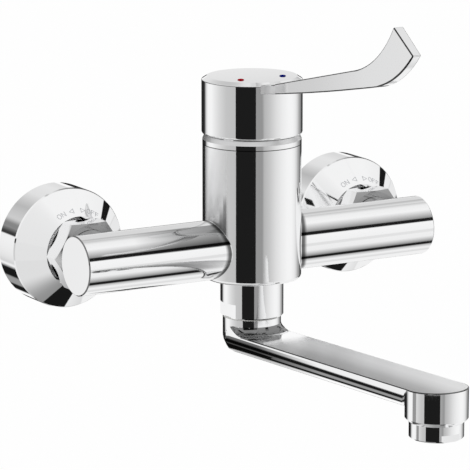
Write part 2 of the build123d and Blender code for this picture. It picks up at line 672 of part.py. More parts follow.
with BuildPart() as handle:
    revolve(
        section(
            COLUMN_SECTION,
            (0, CAP_ROOF_Z),
            (CAP_BORE_DIA / 2, CAP_ROOF_Z),
            (CAP_BORE_DIA / 2, SKIRT_Z + CAP_LIP_HEIGHT),
            (CAP_LIP_DIA / 2, SKIRT_Z),
            (HANDLE_DIA / 2, SKIRT_Z),
            (HANDLE_DIA / 2, RIM_Z),
            (CAP_TOP_DIA / 2, CAP_TOP_Z),
            (0, CAP_TOP_Z),
        ),
        COLUMN_AXIS,
    )
    skirt_edges = handle.edges().filter_by(GeomType.CIRCLE).group_by(Axis.Z)[0]
    fillet(skirt_edges.sort_by(SortBy.RADIUS)[-1], CAP_FOOT_RADIUS)
    rim_edges = handle.edges().filter_by(GeomType.CIRCLE).group_by(Axis.Z)[-2]
    fillet(rim_edges, RIM_ROUND)
    # Side view of the lever, cut to its plan
    with BuildSketch(ARM_SECTION):
        with BuildLine():
            root_top = (-LEVER_ROOT, LEVER_TOP_START[1])
            Line(root_top, ahead(LEVER_TOP_START))
            top = Line(ahead(LEVER_TOP_START), ahead(LEVER_TOP_BEND))
            TangentArc(ahead(LEVER_TOP_BEND), ahead(LEVER_TIP_TOP), tangent=top % 1)
            Line(ahead(LEVER_TIP_TOP), ahead(LEVER_TIP_LOW))
            under_start = (-1, tan(radians(LEVER_UNDER_ANGLE)))
            TangentArc(ahead(LEVER_UNDER_BEND), ahead(LEVER_TIP_LOW), tangent=under_start)
            ThreePointArc(ahead(LEVER_UNDER_START), ahead(LEVER_UNDER_MIDDLE), ahead(LEVER_UNDER_BEND))
            Line((-LEVER_ROOT, LEVER_UNDER_START[1]), ahead(LEVER_UNDER_START))
            Line(root_top, (-LEVER_ROOT, LEVER_UNDER_START[1]))
        make_face()
    lever_blank = extrude(amount=HANDLE_DIA / 2, both=True, mode=Mode.PRIVATE)
    # The plan tapers to the tip, and its root blends into the round cap
    blend_x = LEVER_ROOT_WIDTH / 2 + LEVER_ROOT_BLEND
    blend_r = HANDLE_DIA / 2 + LEVER_ROOT_BLEND
    blend_reach = sqrt(blend_r**2 - blend_x**2)
    tip_reach = LEVER_TIP_LOW[0] + OVERCUT
    with BuildPart(mode=Mode.PRIVATE) as lever_plan:
        with BuildSketch(COLUMN.offset(CAP_ROOF_Z - LEVER_PLAN_BELOW)):
            with BuildLine():
                Line((0, -tip_reach), (-LEVER_TIP_WIDTH / 2, -tip_reach))
                flank = Line((-LEVER_TIP_WIDTH / 2, -tip_reach), (-LEVER_ROOT_WIDTH / 2, -blend_reach))
                on_cap = (-blend_x * HANDLE_DIA / 2 / blend_r, -blend_reach * HANDLE_DIA / 2 / blend_r)
                blend = TangentArc(flank @ 1, on_cap, tangent=flank % 1)
                Line(blend @ 1, (blend_x / -2, -LEVER_ROOT / 2))
                Line((blend_x / -2, -LEVER_ROOT / 2), (0, -LEVER_ROOT / 2))
                mirror(about=Plane.YZ)
            make_face()
        extrude(amount=HANDLE_DIA + LEVER_PLAN_BELOW)
    lever = lever_blank & lever_plan.part
    beyond_root = [edge for edge in lever.edges() if edge.center().Y < AXIS_Y - blend_reach]
    along = [edge for edge in beyond_root if edge.bounding_box().size.Y > LEVER_ROOT_BLEND]
    across = lever.edges().filter_by(Axis.X)
    tip = across.group_by(Axis.Z)[-1] + across.group_by(Axis.Y)[0]
    add(lever.fillet(LEVER_EDGE, along + tip))
    # Square socket on the stem, held by a grub screw reached through the skirt's back
    with BuildSketch(COLUMN.offset(BOSS_BOTTOM)):
        Circle(BOSS_DIA / 2)
    extrude(amount=CAP_ROOF_Z - BOSS_BOTTOM)
    with BuildSketch(COLUMN.offset(BOSS_BOTTOM)):
        Rectangle(STEM_SQUARE, STEM_SQUARE)
    extrude(amount=STEM_TOP - BOSS_BOTTOM, mode=Mode.SUBTRACT)
    back = Plane((0, AXIS_Y, 0), x_dir=(-1, 0, 0), z_dir=(0, 1, 0))
    with BuildSketch(back):
        with Locations((0, SCREW_Z)):
            Circle(SCREW_DIA / 2)
    extrude(amount=BOSS_DIA / 2 + OVERCUT, mode=Mode.SUBTRACT)
    with BuildSketch(back.offset(BOSS_DIA / 2)):
        with Locations((0, SCREW_Z)):
            Circle(SCREW_ACCESS_DIA / 2)
    extrude(amount=HANDLE_DIA, mode=Mode.SUBTRACT)
    with BuildSketch(COLUMN.offset(CAP_TOP_Z)):
        with Locations(*MARKERS.values()):
            Circle(MARKER_DIA / 2)
    extrude(amount=-MARKER_DEPTH, mode=Mode.SUBTRACT)
save(handle, "handle")

with BuildPart() as handle_screw:
    with BuildSketch(back.offset(STEM_SQUARE / 2)):
        with Locations((0, SCREW_Z)):
            Circle(SCREW_DIA / 2)
    extrude(amount=BOSS_DIA / 2 - STEM_SQUARE / 2 - SCREW_SUNK)
    with BuildSketch(back.offset(BOSS_DIA / 2 - SCREW_SUNK)):
        with Locations((0, SCREW_Z)):
            RegularPolygon(SCREW_DIA / 4, 6)
    extrude(amount=-SCREW_SOCKET, mode=Mode.SUBTRACT)
save(handle_screw, "handle_screw")

for name, spot in MARKERS.items():
    with BuildPart() as marker:
        with BuildSketch(COLUMN.offset(CAP_TOP_Z - MARKER_DEPTH)):
            with Locations(spot):
                Circle(MARKER_DIA / 2)
        extrude(amount=MARKER_DEPTH + MARKER_PROUD)
    save(marker, name)

# Connector under the column: the spout's nipple turns in it
CONNECTOR_BORE_DIA = 11.2
SOCKET_TOP = -17.4
NIPPLE_SOCKET_DIA = 20.0
FLAT_DISTANCE = 12.6
FLAT_HEIGHT = 6.7
CONNECTOR_CHAMFER = 0.6
SEAL_GROOVE = (18.0, 22.0, 1.4)
CIRCLIP_PLACE = -29.5
CIRCLIP_THICKNESS = 1.1
CIRCLIP_DIA = 21.6
CIRCLIP_GAP_ANGLE = 40.0
AXIAL_PLAY = 0.1

with BuildPart() as spout_connector:
    revolve(
        section(
            COLUMN_SECTION,
            (CONNECTOR_BORE_DIA / 2, SOCKET_TOP),
            (CONNECTOR_BORE_DIA / 2, CONNECTOR_THREAD_TOP),
            (CONNECTOR_THREAD_DIA / 2, CONNECTOR_THREAD_TOP),
            (CONNECTOR_THREAD_DIA / 2, COLUMN_BOTTOM),
            (SEAL_GROOVE[0] / 2, COLUMN_BOTTOM),
            (SEAL_GROOVE[0] / 2, COLUMN_BOTTOM - SEAL_GROOVE[2]),
            (SEAL_GROOVE[1] / 2, COLUMN_BOTTOM - SEAL_GROOVE[2]),
            (SEAL_GROOVE[1] / 2, COLUMN_BOTTOM),
            (CONNECTOR_DIA / 2, COLUMN_BOTTOM),
            (CONNECTOR_DIA / 2, CONNECTOR_BOTTOM + CONNECTOR_CHAMFER),
            (CONNECTOR_DIA / 2 - CONNECTOR_CHAMFER, CONNECTOR_BOTTOM),
            (NIPPLE_SOCKET_DIA / 2, CONNECTOR_BOTTOM),
            (NIPPLE_SOCKET_DIA / 2, SOCKET_TOP),
        ),
        COLUMN_AXIS,
    )
    groove_half = CIRCLIP_THICKNESS / 2 + AXIAL_PLAY
    revolve(
        pipe_section(
            COLUMN_SECTION,
            NIPPLE_SOCKET_DIA / 2 - OVERCUT,
            CIRCLIP_DIA / 2 + RUNNING,
            CIRCLIP_PLACE - groove_half,
            CIRCLIP_PLACE + groove_half,
        ),
        COLUMN_AXIS,
        mode=Mode.SUBTRACT,
    )
    with BuildSketch(COLUMN.offset(CONNECTOR_BOTTOM)):
        for side in SIDES.values():
            with Locations((side * (FLAT_DISTANCE + CONNECTOR_DIA / 2), 0)):
                Rectangle(CONNECTOR_DIA, CONNECTOR_DIA)
    extrude(amount=FLAT_HEIGHT, mode=Mode.SUBTRACT)
save(spout_connector, "spout_connector")

with BuildPart() as connector_ring:
    ring_inner, ring_outer, ring_depth = SEAL_GROOVE
    revolve(
        pipe_section(
            COLUMN_SECTION,
            ring_inner / 2,
            ring_outer / 2,
            COLUMN_BOTTOM - ring_depth,
            COLUMN_BOTTOM,
        ),
        COLUMN_AXIS,
    )
save(connector_ring, "connector_ring")

# Spout: nipple, round tube, mitred heel, flat-topped half-round bar and outlet head
WASHER_THICKNESS = 0.5
WASHER_INSET = 0.3
WASHER_PLAY = 0.2
NIPPLE_DIA = NIPPLE_SOCKET_DIA - 2 * RUNNING
NIPPLE_TOP = -18.0
NIPPLE_BORE_DIA = 14.0
RING_PLACES = (-21.5, -25.5)
RING_GROOVE_DIA = 17.0
RING_GROOVE_WIDTH = 2.2
CIRCLIP_GROOVE_DIA = 18.0
BAR_AXIS_ABOVE_FLAT = 1.7
BAR_BORE_DIA = 8.4
BAR_BORE_BELOW_FLAT = 6.2
HEEL_RADIUS = 6.4
NECK_RADIUS = 4.5
NECK_SUNK = 0.4
HEAD_CHAMFER = 1.8
HEAD_BLEND = 3.0
FLAT_EDGE = 0.5
AERATOR_THREAD_DIA = 21.8
AERATOR_WELL_TOP = -39.6
spout_r = SPOUT_DIA / 2
shoulder_z = CONNECTOR_BOTTOM - WASHER_THICKNESS - TOUCHING
rise_angle = degrees(atan(SPOUT_RISE))
bar_direction = (0, -cos(radians(rise_angle)), sin(radians(rise_angle)))
bar_axis_z = SPOUT_FLAT_Z + BAR_AXIS_ABOVE_FLAT
bar_end = Plane((0, AXIS_Y, bar_axis_z), x_dir=(1, 0, 0), z_dir=bar_direction)
bar_length = hypot(SPOUT_REACH, SPOUT_REACH * SPOUT_RISE)
head_place = (0, -SPOUT_REACH)

with BuildPart() as spout:
    # Bar and head, levelled off by the flat top
    with BuildSketch(bar_end):
        Circle(spout_r)
    extrude(amount=bar_length)
    with BuildSketch(COLUMN.offset(HEAD_BOTTOM)):
        with Locations(head_place):
            Circle(HEAD_DIA / 2)
    extrude(amount=-HEAD_BOTTOM)
    head_foot = spout.edges().filter_by(GeomType.CIRCLE).group_by(Axis.Z)[0]
    chamfer(head_foot, HEAD_CHAMFER)
    under_bar = spout.edges().filter_by(GeomType.BSPLINE)
    fillet(under_bar, HEAD_BLEND)
    flat_top = Plane(bar_end.origin, x_dir=(1, 0, 0), z_dir=bar_end.y_dir).offset(-BAR_AXIS_ABOVE_FLAT)
    with BuildSketch(flat_top):
        Rectangle(SPOUT_REACH * 3, SPOUT_REACH * 3)
    extrude(amount=SPOUT_REACH, mode=Mode.SUBTRACT)
    flat = spout.faces().sort_by(Axis.Z)[-1]
    fillet([edge for edge in flat.edges() if edge.center().Y < AXIS_Y - spout_r], FLAT_EDGE)
    # Upright tube down into the heel, and the hollow neck between tube and flat
    with BuildPart(mode=Mode.PRIVATE) as heel:
        with BuildSketch(COLUMN.offset(shoulder_z)):
            Circle(spout_r)
        extrude(amount=-SPOUT_DIA)
        with BuildSketch(bar_end.offset(-SPOUT_DIA)):
            Circle(spout_r)
            with Locations((0, SPOUT_DIA / 2)):
                Rectangle(SPOUT_DIA, SPOUT_DIA)
        extrude(amount=2 * SPOUT_DIA, mode=Mode.INTERSECT)
        crease = heel.edges().filter_by(GeomType.ELLIPSE).sort_by(Axis.Y)[-1]
        fillet(crease, HEEL_RADIUS)
    add(heel.part)
    with BuildPart(mode=Mode.PRIVATE) as neck:
        neck_section = Plane(flat_top.origin, x_dir=(1, 0, 0), z_dir=bar_direction)
        with BuildSketch(neck_section):
            with BuildLine():
                Polyline(
                    (spout_r - NECK_RADIUS, NECK_RADIUS),
                    (spout_r - NECK_RADIUS, -NECK_SUNK),
                    (spout_r + NECK_RADIUS, -NECK_SUNK),
                    (spout_r + NECK_RADIUS, 0),
                )
                Line((spout_r - NECK_RADIUS, NECK_RADIUS), (spout_r, NECK_RADIUS))
                CenterArc((spout_r + NECK_RADIUS, NECK_RADIUS), NECK_RADIUS, 180, 90)
            make_face()
        revolve(axis=Axis(flat_top.origin, flat_top.z_dir))
        with BuildSketch(bar_end):
            with Locations((0, -BAR_AXIS_ABOVE_FLAT)):
                Rectangle(2 * sqrt(spout_r**2 - (BAR_AXIS_ABOVE_FLAT + NECK_SUNK) ** 2), 2 * NECK_RADIUS)
        extrude(amount=SPOUT_DIA, mode=Mode.INTERSECT)
    add(neck.part)
    # Nipple with its grooves
    revolve(pipe_section(COLUMN_SECTION, 0, NIPPLE_DIA / 2, shoulder_z - OVERCUT, NIPPLE_TOP), COLUMN_AXIS)
    for place in RING_PLACES:
        low = place - RING_GROOVE_WIDTH / 2
        high = place + RING_GROOVE_WIDTH / 2
        revolve(
            pipe_section(COLUMN_SECTION, RING_GROOVE_DIA / 2, spout_r, low, high),
            COLUMN_AXIS,
            mode=Mode.SUBTRACT,
        )
    low = CIRCLIP_PLACE - CIRCLIP_THICKNESS / 2
    high = CIRCLIP_PLACE + CIRCLIP_THICKNESS / 2
    revolve(
        pipe_section(COLUMN_SECTION, CIRCLIP_GROOVE_DIA / 2, spout_r, low, high),
        COLUMN_AXIS,
        mode=Mode.SUBTRACT,
    )
    # Waterway: down the tube, along the bar and out at the head
    bore_drop = BAR_AXIS_ABOVE_FLAT + BAR_BORE_BELOW_FLAT
    with BuildSketch(bar_end):
        with Locations((0, -bore_drop)):
            Circle(BAR_BORE_DIA / 2)
    extrude(amount=bar_length, mode=Mode.SUBTRACT)
    with BuildSketch(COLUMN.offset(NIPPLE_TOP)):
        Circle(NIPPLE_BORE_DIA / 2)
    extrude(amount=bar_axis_z - bore_drop - NIPPLE_TOP, mode=Mode.SUBTRACT)
    with BuildSketch(COLUMN.offset(HEAD_BOTTOM)):
        with Locations(head_place):
            Circle(AERATOR_THREAD_DIA / 2)
    extrude(amount=AERATOR_WELL_TOP - HEAD_BOTTOM, mode=Mode.SUBTRACT)
save(spout, "spout")

with BuildPart() as spout_washer:
    washer_low = CONNECTOR_BOTTOM - WASHER_THICKNESS
    washer_inner = NIPPLE_SOCKET_DIA / 2 + WASHER_PLAY
    washer_outer = spout_r - WASHER_INSET
    revolve(pipe_section(COLUMN_SECTION, washer_inner, washer_outer, washer_low, CONNECTOR_BOTTOM), COLUMN_AXIS)
save(spout_washer, "spout_washer")

with BuildPart() as spout_rings:
    wire_r = (NIPPLE_SOCKET_DIA - RING_GROOVE_DIA) / 4 - TOUCHING
    with BuildSketch(COLUMN_SECTION):
        for place in RING_PLACES:
            with Locations((RING_GROOVE_DIA / 2 + wire_r, place)):
                Circle(wire_r)
    revolve(axis=COLUMN_AXIS)
save(spout_rings, "spout_rings")

with BuildPart() as spout_circlip:
    revolve(
        pipe_section(COLUMN_SECTION, CIRCLIP_GROOVE_DIA / 2, CIRCLIP_DIA / 2, low, high),
        COLUMN_AXIS,
        revolution_arc=360 - CIRCLIP_GAP_ANGLE,
    )
save(spout_circlip, "spout_circlip")

# Aerator: threaded housing with spanner flats, flow straightener and gasket
AERATOR_THREAD_TOP = -42.0
AERATOR_BORE_DIA = 19.0
AERATOR_LIP = 1.0
AERATOR_LIP_DIA = 18.0
AERATOR_FLAT_DISTANCE = 10.8
AERATOR_FLAT_HEIGHT = 3.2
AERATOR_CHAMFER = 0.6
STRAIGHTENER_TOP = -43.0
STRAIGHTENER_PITCH = 3.4
STRAIGHTENER_HOLE_DIA = 2.8
GASKET_BORE_DIA = 14.0
head_plane = Plane((0, AXIS_Y - SPOUT_REACH, 0))
head_axis = Axis(head_plane.origin, (0, 0, 1))
head_section = Plane(head_plane.origin, x_dir=(1, 0, 0), z_dir=(0, -1, 0))

with BuildPart() as aerator_housing:
    revolve(
        section(
            head_section,
            (AERATOR_LIP_DIA / 2, AERATOR_BOTTOM),
            (AERATOR_DIA / 2 - AERATOR_CHAMFER, AERATOR_BOTTOM),
            (AERATOR_DIA / 2, AERATOR_BOTTOM + AERATOR_CHAMFER),
            (AERATOR_DIA / 2, HEAD_BOTTOM),
            (AERATOR_THREAD_DIA / 2, HEAD_BOTTOM),
            (AERATOR_THREAD_DIA / 2, AERATOR_THREAD_TOP),
            (AERATOR_BORE_DIA / 2, AERATOR_THREAD_TOP),
            (AERATOR_BORE_DIA / 2, AERATOR_BOTTOM + AERATOR_LIP),
            (AERATOR_LIP_DIA / 2, AERATOR_BOTTOM + AERATOR_LIP),
        ),
        head_axis,
    )
    with BuildSketch(head_plane.offset(AERATOR_BOTTOM)):
        for side in SIDES.values():
            with Locations((0, side * (AERATOR_FLAT_DISTANCE + AERATOR_DIA / 2))):
                Rectangle(AERATOR_DIA, AERATOR_DIA)
    extrude(amount=AERATOR_FLAT_HEIGHT, mode=Mode.SUBTRACT)
save(aerator_housing, "aerator_housing")

straightener_grid = HexLocations(STRAIGHTENER_PITCH / 2, GRID_ACROSS, GRID_ACROSS).locations
straightener_reach = AERATOR_BORE_DIA / 2 - STRAIGHTENER_HOLE_DIA / 2
straightener_holes = [spot for spot in straightener_grid if spot.position.length < straightener_reach]
with BuildPart() as aerator_insert:
    with BuildSketch(head_plane.offset(AERATOR_BOTTOM + AERATOR_LIP)):
        Circle(AERATOR_BORE_DIA / 2)
        with Locations(*straightener_holes):
            RegularPolygon(STRAIGHTENER_HOLE_DIA / 2, 6, mode=Mode.SUBTRACT)
    extrude(amount=STRAIGHTENER_TOP - AERATOR_BOTTOM - AERATOR_LIP)
save(aerator_insert, "aerator_insert")

with BuildPart() as aerator_gasket:
    revolve(
        pipe_section(
            head_section,
            GASKET_BORE_DIA / 2,
            AERATOR_THREAD_DIA / 2,
            AERATOR_THREAD_TOP,
            AERATOR_WELL_TOP,
        ),
        head_axis,
    )
save(aerator_gasket, "aerator_gasket")
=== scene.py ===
"""Looks of the elbow lever tap: polished chrome castings, wall plates, inserts and a bright studio."""
import json
import logging
import math
from dataclasses import dataclass, replace
from enum import Enum
from typing import Sequence

import bpy
from mathutils import Matrix, Vector


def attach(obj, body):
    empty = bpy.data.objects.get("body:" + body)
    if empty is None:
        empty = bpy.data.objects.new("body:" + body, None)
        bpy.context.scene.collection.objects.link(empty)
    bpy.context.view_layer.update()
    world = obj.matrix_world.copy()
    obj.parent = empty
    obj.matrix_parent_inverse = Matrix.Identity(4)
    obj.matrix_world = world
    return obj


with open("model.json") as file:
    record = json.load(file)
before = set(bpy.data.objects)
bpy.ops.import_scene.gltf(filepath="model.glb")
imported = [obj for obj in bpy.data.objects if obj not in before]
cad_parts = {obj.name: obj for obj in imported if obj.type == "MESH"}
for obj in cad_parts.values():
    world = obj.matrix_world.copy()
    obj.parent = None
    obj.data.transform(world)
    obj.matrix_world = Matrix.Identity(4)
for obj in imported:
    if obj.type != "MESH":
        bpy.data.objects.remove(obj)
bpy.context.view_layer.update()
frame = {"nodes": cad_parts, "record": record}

LOG = logging.getLogger("elbow_lever_tap")
MM = 0.001
# Millimetres in the frame: the column's axis, the outlet in front of it, and each inlet beside the middle
AXIS_Y = -51.5
SPOUT_REACH = 153.2
INLET_X = 75.0

Point = tuple[float, float, float]
Stops = Sequence[tuple[float, float]]


class Facing(Enum):
    """A component of a normal or of a place, or a place's distance from the column's axis."""

    SIDEWAYS = 0
    DEPTH = 1
    UPWARDS = 2
    OUTWARDS = 3


# Shader maths and nodes

# A Mix node's sockets for colours
MIX_FIRST, MIX_SECOND, MIX_RESULT = 6, 7, 2


class Signal:
    """A number that changes over a surface, with the arithmetic of Math nodes."""

    def __init__(self, tree: "Nodes", socket: bpy.types.NodeSocket) -> None:
        """Keeps the socket that carries the number, and the tree that it is in."""
        self.tree = tree
        self.socket = socket

    def _math(self, operation: str, first: object, second: object = None) -> "Signal":
        """Adds one Math node.

        Args:
            operation: The Math node's operation.
            first: Its first value, a number or a signal.
            second: Its second value, where the operation has one.

        Returns:
            The node's result.
        """
        inputs = {0: first} if second is None else {0: first, 1: second}
        return self.tree.add("ShaderNodeMath", {"operation": operation}, inputs)

    def __add__(self, other: object) -> "Signal":
        """Sum."""
        return self._math("ADD", self, other)

    __radd__ = __add__

    def __sub__(self, other: object) -> "Signal":
        """Difference."""
        return self._math("SUBTRACT", self, other)

    def __rsub__(self, other: object) -> "Signal":
        """Reflected difference, so that 1 - mask works."""
        return self._math("SUBTRACT", other, self)

    def __mul__(self, other: object) -> "Signal":
        """Product."""
        return self._math("MULTIPLY", self, other)

    __rmul__ = __mul__

    def __truediv__(self, other: object) -> "Signal":
        """Quotient."""
        return self._math("DIVIDE", self, other)

    def __gt__(self, other: object) -> "Signal":
        """One where the signal is above the other value, else zero."""
        return self._math("GREATER_THAN", self, other)

    def __abs__(self) -> "Signal":
        """Size without its sign."""
        return self._math("ABSOLUTE", self)

    def function(self, operation: str, other: object = None) -> "Signal":
        """Any other operation of a Math node on this signal."""
        return self._math(operation, self, other)

    def step(self, edge: float, width: float) -> "Signal":
        """Soft step from zero to one.

        Args:
            edge: Where the step is half way.
            width: How far it takes to rise.

        Returns:
            Zero below the edge and one above it.
        """
        limits = {"Value": self, "From Min": edge - width / 2, "From Max": edge + width / 2}
        return self.tree.add("ShaderNodeMapRange", {"interpolation_type": "SMOOTHSTEP"}, limits)

    def inside(self, low: float, high: float, width: float) -> "Signal":
        """One between two edges and zero outside them, with soft steps of that width."""
        return self.step(low, width) * (1.0 - self.step(high, width))

    def toward(self, other: object, mask: "Signal") -> "Signal":
        """Goes over to another signal or number where the mask is one."""
        return self + (other - self) * mask

    def levels(self, stops: Stops, low: float, high: float) -> "Signal":
        """Looks the signal up in a ramp.

        Args:
            stops: Pairs of a value and its level, in rising order.
            low: The value at the ramp's start.
            high: The value at the ramp's end.

        Returns:
            The level as a signal.
        """
        spread = [((place - low) / (high - low), level) for place, level in stops]
        return self.tree.add("ShaderNodeValToRGB", {"stops": spread}, {"Fac": (self - low) / (high - low)})


class Nodes:
    """The node tree of one material or of the world, filled through one method."""

    def __init__(self, tree: bpy.types.NodeTree) -> None:
        """Empties the tree."""
        self.tree = tree
        self.tree.nodes.clear()

    def add(
        self, kind: str, settings: dict | None = None, inputs: dict | None = None, output: int | str = 0
    ) -> Signal:
        """Adds a node.

        Args:
            kind: The node's type.
            settings: Its settings, among them a ramp's stops as pairs of a place and a level.
            inputs: Values or signals by socket name or number.
            output: The socket that is returned.

        Returns:
            The chosen output as a signal.
        """
        node = self.tree.nodes.new(kind)
        for name, value in (settings or {}).items():
            if name == "stops":
                self._set_stops(node, value)
            else:
                setattr(node, name, value)
        for name, value in (inputs or {}).items():
            if isinstance(value, Signal):
                self.tree.links.new(value.socket, node.inputs[name])
            else:
                node.inputs[name].default_value = value
        socket = node.outputs[output] if len(node.outputs) else None
        return Signal(self, socket)

    def mix(self, factor: object, first: object, second: object, blend: str = "MIX") -> Signal:
        """Mixes two colours.

        Args:
            factor: How far to go over to the second colour.
            first: The first colour, or a signal with it.
            second: The second colour, or a signal with it.
            blend: The Mix node's way of mixing.

        Returns:
            The mixed colour.
        """
        settings = {"data_type": "RGBA", "blend_type": blend}
        inputs = {"Factor": factor, MIX_FIRST: first, MIX_SECOND: second}
        return self.add("ShaderNodeMix", settings, inputs, MIX_RESULT)

    def components(self, vector: Signal) -> tuple[Signal, Signal, Signal]:
        """Splits a vector into its three components."""
        split = self.add("ShaderNodeSeparateXYZ", inputs={0: vector}).socket.node
        return tuple(Signal(self, socket) for socket in split.outputs)

    @staticmethod
    def _set_stops(node: bpy.types.Node, stops: Stops) -> None:
        """Gives a colour ramp its grey stops.

        Args:
            node: The ramp's node.
            stops: Pairs of a place and a level, in rising order.
        """
        ramp = node.color_ramp
        while len(ramp.elements) < len(stops):
            ramp.elements.new(0.5)
        for element, (place, level) in zip(ramp.elements, stops):
            element.position = place
            element.color = grey(level)


def grey(level: float) -> tuple[float, float, float, float]:
    """Gives the opaque grey of a level."""
    return (level, level, level, 1.0)


def start_material(name: str) -> tuple[bpy.types.Material, Nodes]:
    """Makes an empty node material.

    Args:
        name: The material's name.

    Returns:
        The material and its node tree.
    """
    material = bpy.data.materials.new(name)
    material.use_nodes = True
    return material, Nodes(material.node_tree)


def link_mesh(
    name: str, corners: Sequence[Vector | Point], faces: Sequence[tuple[int, ...]], material: bpy.types.Material
) -> bpy.types.Object:
    """Makes a mesh object and puts it in the scene.

    Args:
        name: The object's name.
        corners: Its corners, in metres in the frame.
        faces: Its faces, as numbers of corners.
        material: Its one material.

    Returns:
        The object.
    """
    mesh = bpy.data.meshes.new(name)
    mesh.from_pydata(corners, [], faces)
    mesh.materials.append(material)
    piece = bpy.data.objects.new(name, mesh)
    bpy.context.scene.collection.objects.link(piece)
    return piece


# Finishes, among them chromes with painted reflections and shade

FaceLimits = tuple[tuple[Facing, float, float], ...]
# Beyond the largest component that a normal can have
NO_LIMIT = 2.0
# The same for every finish: size of its clouds per metre, least roughness, and depth of its bumps in metres
CLOUD_SCALE = 25.0
LEAST_ROUGHNESS = 0.01
BUMP_DEPTH = 0.0002


@dataclass(frozen=True)
class SheenAndPaintedReflection:
    """A softer sheen and painted reflection and shade, which darken the colour, over the faces that look one way, in
    one part of a casting.

    The faces are given by the limits of their normal's components, sideways by its size alone. The levels lie
    along one direction between start and end. All places are in metres in the frame.
    """

    faces: FaceLimits
    along: Facing
    start: float
    end: float
    levels: Stops
    roughness: float
    nearer_than: float = 1.0
    farther_than: float = -1.0
    higher_than: float = -1.0
    edge_width: float = 0.0005
    softness: float = 0.006

    def apply(self, nodes: Nodes, colour: Signal, rough: Signal) -> tuple[Signal, Signal]:
        """Paints reflection and shade into a colour, and changes a roughness, on those faces.

        Args:
            nodes: The material's node tree.
            colour: The finish's own colour.
            rough: The finish's own roughness.

        Returns:
            The changed colour and roughness.
        """
        place = nodes.components(nodes.add("ShaderNodeTexCoord", output="Object"))
        normal = nodes.components(nodes.add("ShaderNodeTexCoord", output="Normal"))
        mask = place[Facing.UPWARDS.value] > self.higher_than
        mask = mask * place[Facing.DEPTH.value].inside(self.farther_than, self.nearer_than, self.edge_width)
        for facing, least, most in self.faces:
            part = normal[facing.value]
            mask = mask * (abs(part) if facing is Facing.SIDEWAYS else part).inside(least, most, self.softness)
        across, behind = place[Facing.SIDEWAYS.value], place[Facing.DEPTH.value] - AXIS_Y * MM
        outwards = (across * across + behind * behind).function("SQRT")
        # Level of the painted reflection and shade along one direction, multiplied into the colour where the mask is
        # one
        level = (*place, outwards)[self.along.value].levels(self.levels, self.start, self.end)
        return nodes.mix(mask, colour, level, "MULTIPLY"), rough.toward(self.roughness, mask)


@dataclass(frozen=True)
class Finish:
    """A surface finish, made into one material whose scales count per metre, with painted reflections and shade
    where it has them.
    """

    name: str
    colour: tuple[float, float, float]
    metallic: float = 0.0
    roughness: float = 0.4
    roughness_spread: float = 0.05
    grain_scale: float = 300.0
    bump: float = 0.0
    bump_scale: float = 800.0
    shade_spread: float = 0.04
    coat: float = 0.0
    specular: float = 0.5
    painted_reflections: tuple[SheenAndPaintedReflection, ...] = ()

    def material(self) -> bpy.types.Material:
        """Builds the material.

        Returns:
            A node material whose colour, roughness and bump vary over the surface; the colour also carries painted
            reflections and shade.
        """
        material, nodes = start_material(self.name)
        place = nodes.add("ShaderNodeTexCoord", output="Object")
        grain = nodes.add("ShaderNodeTexNoise", inputs={"Vector": place, "Scale": self.grain_scale, "Detail": 5.0})
        cloud = nodes.add("ShaderNodeTexNoise", inputs={"Vector": place, "Scale": CLOUD_SCALE, "Detail": 2.0})
        rough = self.roughness + (grain - 0.5) * self.roughness_spread + (cloud - 0.5) * self.roughness_spread
        dark = tuple(channel * (1.0 - self.shade_spread) for channel in self.colour)
        colour = nodes.mix(cloud, (*dark, 1.0), (*self.colour, 1.0))
        # Painted reflections and shade, darkening the colour on chosen faces
        for painted in self.painted_reflections:
            colour, rough = painted.apply(nodes, colour, rough)
        inputs = {
            "Base Color": colour,
            "Metallic": self.metallic,
            "Roughness": rough.function("MAXIMUM", LEAST_ROUGHNESS),
            "Coat Weight": self.coat,
            "Specular IOR Level": self.specular,
        }
        if self.bump:
            fine = nodes.add("ShaderNodeTexNoise", inputs={"Vector": place, "Scale": self.bump_scale, "Detail": 3.0})
            bumps = {"Strength": self.bump, "Distance": BUMP_DEPTH, "Height": fine}
            inputs["Normal"] = nodes.add("ShaderNodeBump", inputs=bumps)
        shader = nodes.add("ShaderNodeBsdfPrincipled", inputs=inputs)
        nodes.add("ShaderNodeOutputMaterial", inputs={"Surface": shader})
        return material


# Each with its name, colour, metallic, roughness and its spread, grain scale, and bump and its scale
CHROME = Finish("polished_chrome", (0.95, 0.952, 0.956), 1.0, 0.03, 0.02, 180.0, shade_spread=0.02)

# Painted reflections and shade on the handle: the lever's flat sides and edges, and the cap's top and rim; at the
# lever's root and the cap's root only a rougher sheen
LEVER_START = -0.0785
LEVER_SIDES: FaceLimits = ((Facing.SIDEWAYS, 0.985, NO_LIMIT),)
UNTONED: Stops = [(-0.09, 1.0), (-0.07, 1.0)]
# Painted reflection on the lever's flat sides: a grey gradient along its length
LEVER_PAINTED_REFLECTION = SheenAndPaintedReflection(
    LEVER_SIDES, Facing.DEPTH, -0.19, -0.075,
    [(-0.18, 0.82), (-0.15, 0.8), (-0.11, 0.68), (-0.09, 0.66), (-0.083, 0.9), (-0.078, 0.95)],
    0.08, nearer_than=LEVER_START,
)
LEVER_ROOT = SheenAndPaintedReflection(
    LEVER_SIDES, Facing.DEPTH, -0.09, -0.07, UNTONED,
    0.6, nearer_than=LEVER_START, farther_than=-0.087, edge_width=0.004,
)
# Painted dark reflection lines along the lever's edges
LEVER_EDGES = SheenAndPaintedReflection(
    ((Facing.SIDEWAYS, 0.2, 0.97),), Facing.DEPTH, -0.2, 0.0, [(-0.2, 0.06), (0.0, 0.06)],
    0.1, nearer_than=LEVER_START,
)
# Painted grey reflection on the cap's top
CAP_PAINTED_REFLECTION = SheenAndPaintedReflection(
    ((Facing.UPWARDS, 0.97, NO_LIMIT),), Facing.DEPTH, -0.08, -0.02, [(-0.075, 0.66), (-0.03, 0.74)], 0.06,
)
